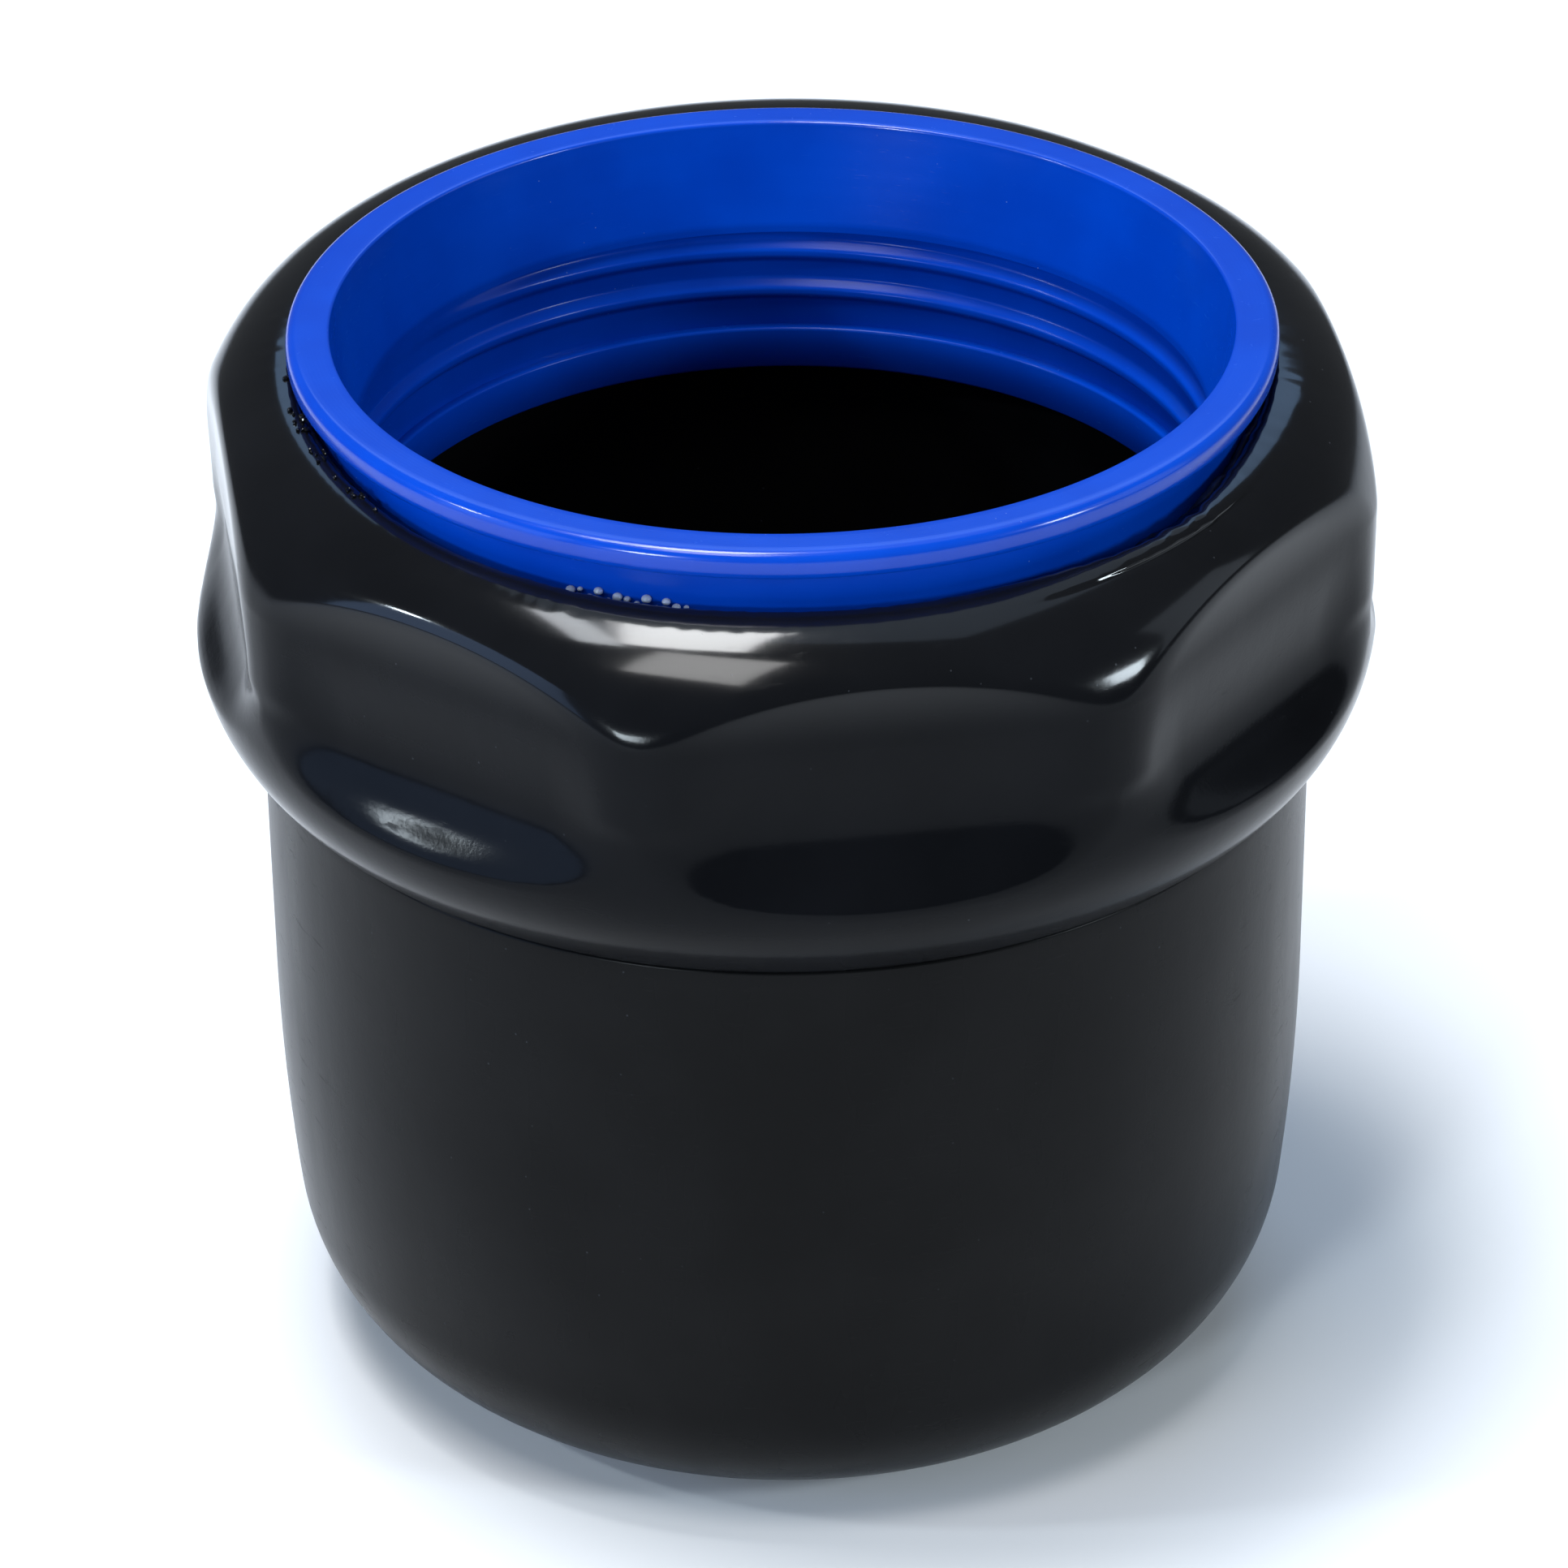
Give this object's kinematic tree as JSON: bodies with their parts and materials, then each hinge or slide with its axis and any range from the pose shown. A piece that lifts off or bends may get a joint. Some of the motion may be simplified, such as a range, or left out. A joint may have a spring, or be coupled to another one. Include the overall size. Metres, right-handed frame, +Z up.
{
  "type": "rock tumbler barrel",
  "caption": "Round rubber tumbling barrel with a raised faceted grip collar, a rounded base and a wide rigid mouth ring threaded inside for a screw lid.",
  "frame": {"origin": "centre of the barrel's base, where it stands", "axes": "+Z up along the barrel's axis, out of the mouth; -Y through the middle of one flat of the grip collar"},
  "size_m": [0.1202, 0.1202, 0.114],
  "materials": {
    "cup_rubber": "satin black moulded rubber",
    "collar_rubber": "glossy black moulded rubber",
    "blue_plastic": "glossy moulded blue plastic",
    "adhesive": "cured dark adhesive",
    "clear_adhesive": "cured clear adhesive"
  },
  "bodies": {
    "root": {"barrel_cup": "cup_rubber", "grip_collar": "collar_rubber", "thread_ring": "blue_plastic", "bond_bead": "adhesive", "bond_drops": "clear_adhesive"}
  },
  "joints": []
}
